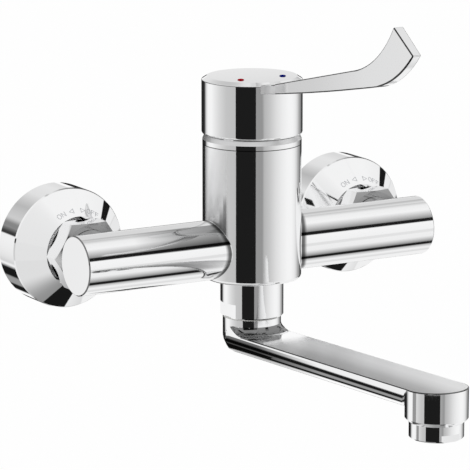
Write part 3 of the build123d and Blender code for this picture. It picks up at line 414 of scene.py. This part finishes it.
# Painted dark reflection line along the cap's rim
CAP_RIM = SheenAndPaintedReflection(
    ((Facing.UPWARDS, 0.06, 0.6),), Facing.DEPTH, -0.08, -0.02, [(-0.08, 0.05), (-0.02, 0.2)],
    0.08, farther_than=LEVER_START, higher_than=0.06,
)
CAP_ROOT = SheenAndPaintedReflection(
    (), Facing.DEPTH, -0.09, -0.07, UNTONED,
    0.6, nearer_than=-0.0728, farther_than=-0.0788, higher_than=0.0732,
)

# Painted reflections and shade on the spout: the bar's flat, the painted dark lines round the bar and its head, its
# foot, and the heel's underside
BAR_RIM: FaceLimits = ((Facing.UPWARDS, 0.2, 0.985),)
# Painted reflection across the spout's flat: darker towards its left side
FLAT_PAINTED_REFLECTION = SheenAndPaintedReflection(
    ((Facing.UPWARDS, 0.99, NO_LIMIT),), Facing.SIDEWAYS, -0.0135, 0.0135,
    [(-0.013, 0.46), (-0.006, 0.6), (0.0, 0.85), (0.006, 1.0)],
    0.3, nearer_than=-0.082, edge_width=0.02,
)
# Painted dark reflection lines along the bar's edges
BAR_EDGES = SheenAndPaintedReflection(BAR_RIM, Facing.SIDEWAYS, -0.02, 0.02, [(-0.01, 0.06), (0.01, 0.3)], 0.1, nearer_than=-0.07)
# Painted dark reflection line on the right of the head's rim
HEAD_RIM = SheenAndPaintedReflection(BAR_RIM, Facing.SIDEWAYS, -0.02, 0.02, [(0.0, 1.0), (0.008, 0.3)], 0.1, nearer_than=-0.205)
# Painted dark reflection in the hollow where the tube meets the flat
FOOT_PAINTED_REFLECTION = SheenAndPaintedReflection(
    ((Facing.UPWARDS, 0.25, 0.97),), Facing.DEPTH, -0.09, -0.03, [(-0.08, 0.2), (-0.06, 0.25)],
    0.08, nearer_than=-0.04, farther_than=-0.078,
)
# Painted dark reflection on the heel's underside, darkest near the column
HEEL_PAINTED_REFLECTION = SheenAndPaintedReflection(
    ((Facing.UPWARDS, -0.88, -0.25),), Facing.DEPTH, -0.14, -0.03,
    [(-0.13, 1.0), (-0.1, 0.45), (-0.078, 0.1), (-0.03, 0.1)],
    0.05, nearer_than=-0.03,
)

# Painted reflections and shade on the body: painted shade in the joint with the ring, painted dark lines at the
# arms' roots, painted shade on the left arm's top, painted darkening low on the column's flanks, and the arm's
# painted reflection as a grey wedge over each arm
COLUMN_SIDES = (Facing.SIDEWAYS, 0.6, NO_LIMIT)
FLANK_SHEEN = 0.3
# Painted shade in the thin gap where the ring sits on the body
SEAM_PAINTED_SHADE = SheenAndPaintedReflection(
    (), Facing.UPWARDS, 0.046, 0.048, [(0.04705, 1.0), (0.0472, 0.1), (0.0475, 0.1)], 0.05, higher_than=0.047,
)
# Painted dark reflection lines round the roots of the arms
ROOT_PAINTED_LINES = SheenAndPaintedReflection(
    (), Facing.OUTWARDS, 0.022, 0.027, [(0.02255, 1.0), (0.0229, 0.12), (0.0239, 0.2), (0.0252, 1.0)],
    0.05, higher_than=-0.02,
)
# Painted shade on top of the left arm; on both arms a slightly rougher sheen
ARM_SHADE = SheenAndPaintedReflection(
    ((Facing.UPWARDS, 0.3, 0.93),), Facing.SIDEWAYS, -0.07, 0.0,
    [(-0.066, 1.0), (-0.044, 0.5), (-0.024, 0.36), (-0.015, 1.0)], 0.05,
)
# Painted darkening, low on the column's flanks
FLANK_PAINTED_SHADE = SheenAndPaintedReflection(
    (COLUMN_SIDES, (Facing.DEPTH, -0.5, 0.2)), Facing.UPWARDS, 0.0, 0.05,
    [(0.013, 0.9), (0.02, 0.97), (0.04, 1.0)], FLANK_SHEEN, higher_than=0.008, softness=0.1,
)
# Painted reflection of each arm on the column: a grey wedge, in three parts from its tip to its foot
WEDGE_TIP = SheenAndPaintedReflection(
    (COLUMN_SIDES, (Facing.DEPTH, -0.485, -0.42)), Facing.UPWARDS, 0.0, 0.05,
    [(0.012, 0.42), (0.022, 0.5), (0.027, 1.0)], FLANK_SHEEN, higher_than=0.0, softness=0.02,
)
WEDGE_WAIST = SheenAndPaintedReflection(
    (COLUMN_SIDES, (Facing.DEPTH, -0.42, -0.33)), Facing.UPWARDS, 0.0, 0.05,
    [(0.013, 0.45), (0.017, 0.55), (0.0215, 1.0)], FLANK_SHEEN, higher_than=0.0, softness=0.04,
)
WEDGE_FOOT = SheenAndPaintedReflection(
    (COLUMN_SIDES, (Facing.DEPTH, -0.34, -0.14)), Facing.UPWARDS, 0.0, 0.05,
    [(0.0125, 0.5), (0.0145, 0.62), (0.0175, 1.0)], FLANK_SHEEN, higher_than=0.0, softness=0.08,
)

# Painted reflections and shade on the smaller pieces: dark lines on the wall plates' rims, the arm plugs' edges, the
# union nuts' fronts and the tapered ring
# Painted dark reflection on part of each wall plate's rim
PLATE_RIM = SheenAndPaintedReflection(
    ((Facing.DEPTH, -0.68, -0.06),), Facing.SIDEWAYS, -0.11, 0.11,
    [(-0.082, 1.0), (-0.072, 0.12), (-0.04, 0.12), (-0.03, 1.0), (0.068, 1.0), (0.078, 0.12)], 0.05,
)
# Painted reflection on the arm plugs' edges: dark to the left, lighter to the right
PLUG_EDGE = SheenAndPaintedReflection(
    ((Facing.SIDEWAYS, 0.3, 0.95),), Facing.SIDEWAYS, -0.1, 0.1, [(-0.09, 0.22), (0.09, 0.8)], 0.1,
)
# Painted reflection and shade on the nuts' fronts: darker above their middles
NUT_FRONT = SheenAndPaintedReflection(
    ((Facing.DEPTH, -NO_LIMIT, -0.35),), Facing.UPWARDS, -0.02, 0.02, [(0.0, 0.8), (0.01, 0.3), (0.017, 0.4)], 0.15,
)
# Painted grey reflection on the ring's tapered face, with a softer sheen
TAPER_PAINTED_REFLECTION = SheenAndPaintedReflection(
    ((Facing.UPWARDS, 0.15, 0.98),), Facing.UPWARDS, 0.047, 0.06, [(0.047, 0.72), (0.055, 0.8)], 0.35,
)

# Chromes with the painted reflections and shade above
HANDLE_CHROME = replace(
    CHROME, name="handle_chrome", painted_reflections=(LEVER_PAINTED_REFLECTION, LEVER_ROOT, LEVER_EDGES, CAP_PAINTED_REFLECTION, CAP_RIM, CAP_ROOT)
)
SPOUT_CHROME = replace(CHROME, name="spout_chrome", painted_reflections=(FLAT_PAINTED_REFLECTION, BAR_EDGES, HEAD_RIM, FOOT_PAINTED_REFLECTION, HEEL_PAINTED_REFLECTION))
RING_CHROME = replace(CHROME, name="ring_chrome", painted_reflections=(TAPER_PAINTED_REFLECTION,))
BODY_CHROME = replace(
    CHROME,
    name="body_chrome",
    painted_reflections=(SEAM_PAINTED_SHADE, ARM_SHADE, ROOT_PAINTED_LINES, FLANK_PAINTED_SHADE, WEDGE_FOOT, WEDGE_WAIST, WEDGE_TIP),
)
PLATE_CHROME = replace(CHROME, name="plate_chrome", painted_reflections=(PLATE_RIM,))
PLUG_CHROME = replace(CHROME, name="plug_chrome", painted_reflections=(PLUG_EDGE,))
SOFT_CHROME = replace(CHROME, name="soft_chrome", roughness=0.08, painted_reflections=(NUT_FRONT,))
SATIN_CHROME = replace(CHROME, name="satin_chrome", roughness=0.3)
MARKING = Finish("etched_marks", (0.52, 0.53, 0.55), 0.6, 0.5, 0.1, 400.0)
BRASS = Finish("turned_brass", (0.76, 0.58, 0.28), 1.0, 0.28, 0.12, 400.0, 0.15, 1200.0)
STEEL = Finish("drawn_steel", (0.62, 0.61, 0.6), 1.0, 0.25, 0.1, 500.0, 0.1, 1500.0)
RUBBER = Finish("black_rubber", (0.025, 0.025, 0.027), 0.0, 0.6, 0.12, 300.0, 0.3, 900.0)
PLASTIC = Finish("white_plastic", (0.8, 0.8, 0.77), 0.0, 0.42, 0.08, 250.0, 0.08, 900.0)
CERAMIC = Finish("lapped_ceramic", (0.9, 0.9, 0.87), 0.0, 0.15, 0.06, 250.0, coat=0.3)
RED = Finish("red_insert", (0.3, 0.0, 0.008), 0.0, 0.6, 0.06, 300.0, specular=0.0)
BLUE = Finish("blue_insert", (0.0, 0.004, 0.14), 0.0, 0.6, 0.06, 300.0, specular=0.0)

SLOT_FINISHES = {
    "chrome_plate": CHROME,
    "bare_brass": BRASS,
    "stainless_steel": STEEL,
    "black_rubber": RUBBER,
    "white_plastic": PLASTIC,
    "ceramic": CERAMIC,
    "red_insert": RED,
    "blue_insert": BLUE,
}


class Finishes:
    """The tap's materials: one for each slot of the record, and those of the pieces with a chrome of their own, most
    of them with painted reflections and shade.
    """

    def __init__(self) -> None:
        """Builds every material once."""
        self.by_slot = {slot: finish.material() for slot, finish in SLOT_FINISHES.items()}
        soft, satin = SOFT_CHROME.material(), SATIN_CHROME.material()
        plate, plug = PLATE_CHROME.material(), PLUG_CHROME.material()
        self.by_node = {
            "handle": HANDLE_CHROME.material(),
            "spout": SPOUT_CHROME.material(),
            "body": BODY_CHROME.material(),
            "shroud_ring": RING_CHROME.material(),
        }
        for side in ("left", "right"):
            self.by_node |= {f"inlet_nut_{side}": soft, f"wall_union_{side}": satin, f"inlet_tail_{side}": satin}
            self.by_node |= {f"rose_{side}": plate, f"arm_plug_{side}": plug}
        self.marking = MARKING.material()

    def dress_nodes(self, nodes: dict) -> None:
        """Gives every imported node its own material, or else that of its slot.

        Args:
            nodes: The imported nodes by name.
        """
        slots = {part["node"]: part["material_slot"] for part in frame["record"]["subparts"]}
        for name, node in nodes.items():
            for index in range(len(node.data.materials)):
                node.data.materials[index] = self.by_node.get(name, self.by_slot[slots[name]])


# Marks on the wall plates, and the tops of the inserts

# Strokes of each letter in a square of side one
LETTERS = {
    "O": [
        [
            (0.3, 0.0), (0.1, 0.25), (0.1, 0.75), (0.3, 1.0),
            (0.6, 1.0), (0.8, 0.75), (0.8, 0.25), (0.6, 0.0), (0.3, 0.0),
        ]
    ],
    "N": [[(0.1, 0.0), (0.1, 1.0), (0.8, 0.0), (0.8, 1.0)]],
    "F": [[(0.1, 0.0), (0.1, 1.0), (0.75, 1.0)], [(0.1, 0.52), (0.62, 0.52)]],
    "<": [[(0.9, 0.0), (0.0, 0.5), (0.9, 1.0), (0.9, 0.0)]],
    ">": [[(0.0, 0.0), (0.9, 0.5), (0.0, 1.0), (0.0, 0.0)]],
    ".": [[(0.35, 0.4), (0.55, 0.4), (0.55, 0.6), (0.35, 0.6), (0.35, 0.4)]],
}


@dataclass
class PlateMarks:
    """Words and arrows etched round the hole of one wall plate, in millimetres and degrees."""

    side: int
    height: float = 2.2
    stroke: float = 0.26
    radius: float = 17.9
    hole_radius: float = 16.3
    hole_y: float = -25.5
    slope: float = 10.5 / 11.3
    proud: float = 0.04
    words: tuple = (("ON", 114.0), ("<", 98.0), (">", 80.0), ("OFF", 63.5), (".", 45.5), (".", 40.0), (".", 34.5))

    def on_cone(self, across: float, above: float, middle: float) -> Vector:
        """Point on the plate's cone.

        Args:
            across: Distance clockwise along the arc of letters, in millimetres.
            above: Distance outwards from the letters' foot.
            middle: Angle of the word's middle, anticlockwise from the right.

        Returns:
            The point in metres, in the frame.
        """
        angle = math.radians(middle) - across / self.radius
        radius = self.radius + above / math.hypot(1.0, self.slope)
        depth = self.hole_y + (radius - self.hole_radius) * self.slope - self.proud
        return Vector((self.side * INLET_X + radius * math.cos(angle), depth, radius * math.sin(angle))) * MM

    def strokes(self) -> list[tuple[list[tuple[float, float]], float]]:
        """Lays out every letter's strokes.

        Returns:
            The points of each stroke, along the arc of letters and above it, with its word's angle.
        """
        laid = []
        for word, middle in self.words:
            start = -self.height * len(word) / 2 + self.stroke / 2
            for index, letter in enumerate(word):
                for line in LETTERS[letter]:
                    points = [(start + self.height * index + x * self.height, y * self.height) for x, y in line]
                    laid.append((points, middle))
        return laid

    def build(self, material: bpy.types.Material, name: str) -> bpy.types.Object:
        """Makes the marks as thin strips on the cone.

        Args:
            material: The marks' material.
            name: The piece's name.

        Returns:
            The piece, in place.
        """
        corners: list[Vector] = []
        faces: list[tuple[int, int, int, int]] = []
        half = self.stroke / 2
        for points, middle in self.strokes():
            for (x0, y0), (x1, y1) in zip(points, points[1:]):
                length = math.hypot(x1 - x0, y1 - y0)
                ux, uy = (x1 - x0) / length * half, (y1 - y0) / length * half
                base = len(corners)
                strip = (
                    (x0 - ux - uy, y0 - uy + ux),
                    (x0 - ux + uy, y0 - uy - ux),
                    (x1 + ux + uy, y1 + uy - ux),
                    (x1 + ux - uy, y1 + uy + ux),
                )
                corners += [self.on_cone(x, y, middle) for x, y in strip]
                faces.append((base, base + 1, base + 2, base + 3))
        return link_mesh(name, corners, faces, material)


@dataclass
class Bead:
    """The rounded top of a coloured insert, which stands a little proud of the cap."""

    node: str
    slot: str
    height: float = 0.5
    rings: int = 6
    segments: int = 40

    def build(self, insert: bpy.types.Object, material: bpy.types.Material) -> bpy.types.Object:
        """Makes the rounded top over the insert's flat end.

        Args:
            insert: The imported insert.
            material: The insert's finish.

        Returns:
            The piece, in place.
        """
        box = [insert.matrix_world @ Vector(corner) for corner in insert.bound_box]
        low = Vector(min(corner[axis] for corner in box) for axis in range(3))
        high = Vector(max(corner[axis] for corner in box) for axis in range(3))
        middle, radius = (low + high) / 2, (high.x - low.x) / 2
        corners = []
        for ring in range(self.rings):
            rise = math.radians(90.0 * ring / self.rings)
            for segment in range(self.segments):
                turn = math.tau * segment / self.segments
                offset = Vector((math.cos(turn), math.sin(turn), 0.0)) * radius * math.cos(rise)
                corners.append(Vector((middle.x, middle.y, high.z + self.height * MM * math.sin(rise))) + offset)
        corners.append(Vector((middle.x, middle.y, high.z + self.height * MM)))
        faces = []
        for ring in range(self.rings - 1):
            for segment in range(self.segments):
                first, after = ring * self.segments + segment, ring * self.segments + (segment + 1) % self.segments
                faces.append((first, after, after + self.segments, first + self.segments))
        last = (self.rings - 1) * self.segments
        faces += [(last + i, last + (i + 1) % self.segments, len(corners) - 1) for i in range(self.segments)]
        piece = link_mesh(f"{self.node}_top", corners, faces, material)
        for face in piece.data.polygons:
            face.use_smooth = True
        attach(piece, "lever")
        return piece


BEADS = [Bead("hot_marker", "red_insert"), Bead("cold_marker", "blue_insert")]

# Studio: camera, floor, and the white room that the chrome mirrors


@dataclass
class Card:
    """An upright curved flag beside the tap, in millimetres and degrees, seen only in the chrome."""

    name: str
    centre: tuple[float, float]
    radius: float
    start: float
    end: float
    low: float
    high: float
    level: float

    def build(self, azimuth: float, steps: int = 24) -> bpy.types.Object:
        """Makes the card.

        Args:
            azimuth: The photograph's azimuth, from which the card's angles count.
            steps: How many flat strips make the curve.

        Returns:
            The card.
        """
        turn = math.radians(azimuth)
        corners = []
        for index in range(steps + 1):
            angle = math.radians(self.start + (self.end - self.start) * index / steps)
            right, near = self.radius * math.sin(angle), self.radius * math.cos(angle)
            x = self.centre[0] + right * math.cos(turn) - near * math.sin(turn)
            y = self.centre[1] - right * math.sin(turn) - near * math.cos(turn)
            corners += [Vector((x, y, self.low)) * MM, Vector((x, y, self.high)) * MM]
        faces = [(2 * i, 2 * i + 2, 2 * i + 3, 2 * i + 1) for i in range(steps)]
        material, nodes = start_material(self.name)
        glow = nodes.add("ShaderNodeEmission", inputs={"Color": grey(self.level), "Strength": 1.0})
        nodes.add("ShaderNodeOutputMaterial", inputs={"Surface": glow})
        card = link_mesh(self.name, corners, faces, material)
        card.visible_camera = card.visible_diffuse = card.visible_shadow = card.visible_transmission = False
        return card


CARDS = [
    Card("flag_column", (0.0, AXIS_Y), 150.0, -35.0, 8.0, -84.0, 72.0, 0.012),
    Card("scrim_column", (0.0, AXIS_Y), 150.0, 8.0, 22.0, -84.0, 72.0, 0.31),
    Card("flag_head", (0.0, AXIS_Y - SPOUT_REACH), 120.0, -46.0, 9.0, -140.0, -60.0, 0.012),
    Card("flag_heel", (0.0, AXIS_Y), 80.0, -160.0, -138.0, -125.0, -72.0, 0.012),
]

# Levels of the room by angle round the tap, from -180 behind over 0 at the camera: walls, below them and above
FULL_TURN = (-180.0, 180.0)
RING_LEVELS = [
    (-180, 0.02), (-141, 0.02), (-136, 0.12), (-131, 0.55), (-126, 0.8), (-119, 0.96), (-106, 0.96), (-80, 0.72),
    (-61, 0.58), (-36, 0.54), (-33, 0.8), (-5, 0.82), (10, 0.4), (24, 0.31), (28, 0.485), (42, 0.6), (57, 0.76),
    (73, 0.88), (91, 0.96), (105, 0.96), (117, 0.87), (126, 0.7), (131, 0.53), (137, 0.38), (144, 0.3), (152, 0.05),
    (180, 0.05),
]
BELOW_LEVELS = [
    (-180, 1.0), (-165, 1.0), (-163, 0.01), (-155, 0.01), (-153, 0.33), (-144, 0.33), (-142, 0.01), (-133, 0.01),
    (-131, 0.92), (-100, 0.9), (-45, 0.85), (-30, 0.77), (-10, 0.78), (20, 0.9), (180, 0.92),
]
ABOVE_LEVELS = [
    (-180, 0.72), (-171, 0.82), (-156, 0.78), (-138, 0.5), (-128, 0.62), (-119, 0.9), (-45, 0.92), (-29, 0.82),
    (-8, 0.86), (12, 0.94), (110, 0.95), (150, 0.85), (166, 0.5), (169, 0.72), (180, 0.72),
]
# Angle above level and softness of the step where the walls end below, and where they end above
BELOW_STEP = (-21.0, 2.0)
ABOVE_STEP = (4.0, 2.0)
# Levels along the arc that the arms mirror: -90 is straight below, 0 in front and 90 straight above
ARM_ARC = (-110.0, 110.0)
ARM_LEVELS = [
    (-110, 0.7), (-90, 0.95), (-78, 0.62), (-74, 0.45), (-71, 0.01), (-62, 0.01), (-58, 0.3), (-36, 0.9), (22, 0.97),
    (25, 0.01), (35.5, 0.01), (38, 0.3), (72, 0.95), (95, 0.9), (110, 0.6),
]


@dataclass(frozen=True)
class Patch:
    """A part of the room with one level, by angle: each span has its two ends and how soft they are."""

    level: float
    rise: tuple[float, float, float]
    around: tuple[float, float, float]
    left_out: tuple[float, float, float] | None = None
    outside: bool = False

    def mask(self, rise: Signal, around: Signal) -> Signal:
        """Finds the patch.

        Args:
            rise: Angle above level.
            around: Angle round the tap.

        Returns:
            One inside the patch and zero elsewhere.
        """
        width = around.inside(*self.around)
        if self.outside:
            width = 1.0 - width
        if self.left_out:
            width = width * (1.0 - around.inside(*self.left_out))
        return rise.inside(*self.rise) * width


PATCHES = [
    # Bright band low on the far wall, over which the spout's flat runs out
    Patch(1.0, (4.0, 9.8, 1.0), (-165.0, 165.0, 4.0), outside=True),
    # Pale wall to the right behind
    Patch(0.85, (-5.5, 4.0, 2.0), (122.0, 152.0, 4.0)),
    # Dark gap between the walls and the ceiling, which draws the thin lines under edges
    Patch(0.04, (3.5, 10.0, 1.5), (-150.0, 45.0, 3.0), left_out=(-33.0, -17.0, 2.0)),
    # Dim patch over the wall to the left behind
    Patch(0.25, (8.0, 16.0, 6.0), (-130.0, -112.0, 4.0)),
    # Flag to the right, which the wall plates' cones mirror
    Patch(0.01, (11.5, 19.5, 0.6), (118.0, 140.0, 1.0)),
]
# Dark patch below the tap: its direction, the soft outer part with its end to the right, and the core
PATCH_DIRECTION = (0.205, 0.01, -0.979)
PATCH_LEVEL, PATCH_STEP, PATCH_END = 0.28, (0.79, 0.42), (0.25, 0.1)
CORE_LEVEL, CORE_STEP = 0.01, (0.976, 0.004)
# Strips along the arms: how far to the right they lie, how far they reach round, and the gap in between
STRIP_WIDTH, STRIP_REACH, STRIP_GAP = (0.4, 0.575, 0.02), (-110.0, 112.0, 6.0), (-19.0, -8.0, 4.0)


@dataclass
class Studio:
    """The camera at the photograph's angle, a pale floor and a white room with dark flags.

    Angles are in degrees, places and sizes in metres, and lens and sensor in millimetres.
    """

    azimuth: float = 30.22
    elevation: float = 11.89
    camera_place: Point = (-0.8013, -1.4119, 0.3370)
    lens: float = 272.0
    sensor: float = 36.0
    clip: tuple[float, float] = (0.01, 100.0)
    floor_z: float = -0.35
    floor_size: float = 30.0
    floor_level: float = 0.9
    floor_glow: float = 0.92

    def add_camera(self) -> None:
        """Stands the camera where the photograph was taken."""
        turn, rise = math.radians(self.azimuth), math.radians(self.elevation)
        back = Vector((-math.sin(turn) * math.cos(rise), -math.cos(turn) * math.cos(rise), math.sin(rise)))
        right = Vector((math.cos(turn), -math.sin(turn), 0.0))
        up = back.cross(right)
        data = bpy.data.cameras.new("photo_camera")
        data.lens = self.lens
        data.sensor_width = self.sensor
        data.clip_start, data.clip_end = self.clip
        camera = bpy.data.objects.new("photo_camera", data)
        turned = Matrix((right, up, back)).transposed().to_4x4()
        camera.matrix_world = Matrix.Translation(Vector(self.camera_place)) @ turned
        bpy.context.scene.collection.objects.link(camera)
        bpy.context.scene.camera = camera

    def room(self, nodes: Nodes) -> Signal:
        """Works out the level that the chrome mirrors in every direction.

        Args:
            nodes: The world's node tree.

        Returns:
            The level as a signal.
        """
        x, y, z = nodes.components(nodes.add("ShaderNodeTexCoord", output="Generated"))
        turn = math.radians(self.azimuth)
        rightwards = x * math.cos(turn) - y * math.sin(turn)
        nearwards = -math.sin(turn) * x - math.cos(turn) * y
        around = rightwards.function("ARCTAN2", nearwards) * math.degrees(1.0)
        rise = z.function("ARCSINE") * math.degrees(1.0)
        ring = around.levels(RING_LEVELS, *FULL_TURN)
        below = around.levels(BELOW_LEVELS, *FULL_TURN)
        above = around.levels(ABOVE_LEVELS, *FULL_TURN)
        level = ring.toward(below, 1.0 - rise.step(*BELOW_STEP)).toward(above, rise.step(*ABOVE_STEP))
        for patch in PATCHES:
            level = level.toward(patch.level, patch.mask(rise, around))
        return self._arm_strips(self._dark_below(level, x, y, z), x, y, z)

    @staticmethod
    def _dark_below(level: Signal, x: Signal, y: Signal, z: Signal) -> Signal:
        """Adds the dark patch straight below, with a soft edge.

        Args:
            level: The room's level so far.
            x: The direction's component to the right.
            y: Its component to the wall.
            z: Its component upwards.

        Returns:
            The level with the patch.
        """
        downwards = x * PATCH_DIRECTION[0] + y * PATCH_DIRECTION[1] + z * PATCH_DIRECTION[2]
        level = level.toward(PATCH_LEVEL, downwards.step(*PATCH_STEP) * (1.0 - x.step(*PATCH_END)))
        return level.toward(CORE_LEVEL, downwards.step(*CORE_STEP))

    @staticmethod
    def _arm_strips(level: Signal, x: Signal, y: Signal, z: Signal) -> Signal:
        """Adds the two dark strips that run along the arms.

        Args:
            level: The room's level so far.
            x: The direction's component to the right.
            y: Its component to the wall.
            z: Its component upwards.

        Returns:
            The level with the strips.
        """
        upwards = z.function("ARCTAN2", -1.0 * y) * math.degrees(1.0)
        over_arms = x.inside(*STRIP_WIDTH) * upwards.inside(*STRIP_REACH)
        over_arms = over_arms * (1.0 - upwards.inside(*STRIP_GAP))
        return level.toward(upwards.levels(ARM_LEVELS, *ARM_ARC), over_arms)

    def add_world(self) -> None:
        """Lights the tap from all round, with the room's walls only in its reflections."""
        world = bpy.data.worlds.new("white_room")
        bpy.context.scene.world = world
        world.use_nodes = True
        nodes = Nodes(world.node_tree)
        path = nodes.add("ShaderNodeLightPath", output="Is Glossy Ray")
        mirrored = nodes.add("ShaderNodeBackground", inputs={"Color": self.room(nodes), "Strength": 1.0})
        plain = nodes.add("ShaderNodeBackground", inputs={"Color": grey(1.0), "Strength": 1.0})
        mixed = nodes.add("ShaderNodeMixShader", inputs={0: path, 1: plain, 2: mirrored})
        nodes.add("ShaderNodeOutputWorld", inputs={"Surface": mixed})

    def add_floor(self) -> None:
        """Lays a pale floor below the tap, white to the camera apart from its shadows."""
        material, nodes = start_material("pale_floor")
        ray = nodes.add("ShaderNodeLightPath", output="Is Camera Ray")
        matt = nodes.add("ShaderNodeBsdfDiffuse", inputs={"Color": grey(self.floor_level)})
        white = nodes.add("ShaderNodeEmission", inputs={"Color": grey(1.0), "Strength": 1.0})
        shader = nodes.add("ShaderNodeMixShader", inputs={0: ray * self.floor_glow, 1: matt, 2: white})
        nodes.add("ShaderNodeOutputMaterial", inputs={"Surface": shader})
        half = self.floor_size / 2
        corners = [(x * half, y * half, self.floor_z) for x, y in ((-1, -1), (1, -1), (1, 1), (-1, 1))]
        floor = link_mesh("floor", corners, [(0, 1, 2, 3)], material)
        floor.visible_glossy = False

    def build(self) -> None:
        """Sets up everything round the tap."""
        bpy.context.scene.view_settings.view_transform = "Standard"
        self.add_camera()
        self.add_world()
        self.add_floor()
        for card in CARDS:
            card.build(self.azimuth)


def add_marks(finishes: Finishes) -> None:
    """Etches both wall plates.

    Args:
        finishes: The tap's materials.
    """
    for name, side in (("left", -1), ("right", 1)):
        marks = PlateMarks(side).build(finishes.marking, f"plate_marks_{name}")
        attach(marks, f"rose_{name}")


def main() -> None:
    """Builds the studio and dresses the tap."""
    logging.basicConfig(level=logging.INFO, format="%(name)s: %(message)s")
    Studio().build()
    finishes = Finishes()
    finishes.dress_nodes(frame["nodes"])
    add_marks(finishes)
    for bead in BEADS:
        bead.build(frame["nodes"][bead.node], finishes.by_slot[bead.slot])
        LOG.info("rounded %s", bead.node)
    LOG.info("dressed %d nodes", len(frame["nodes"]))


if __name__ == "__main__":
    main()
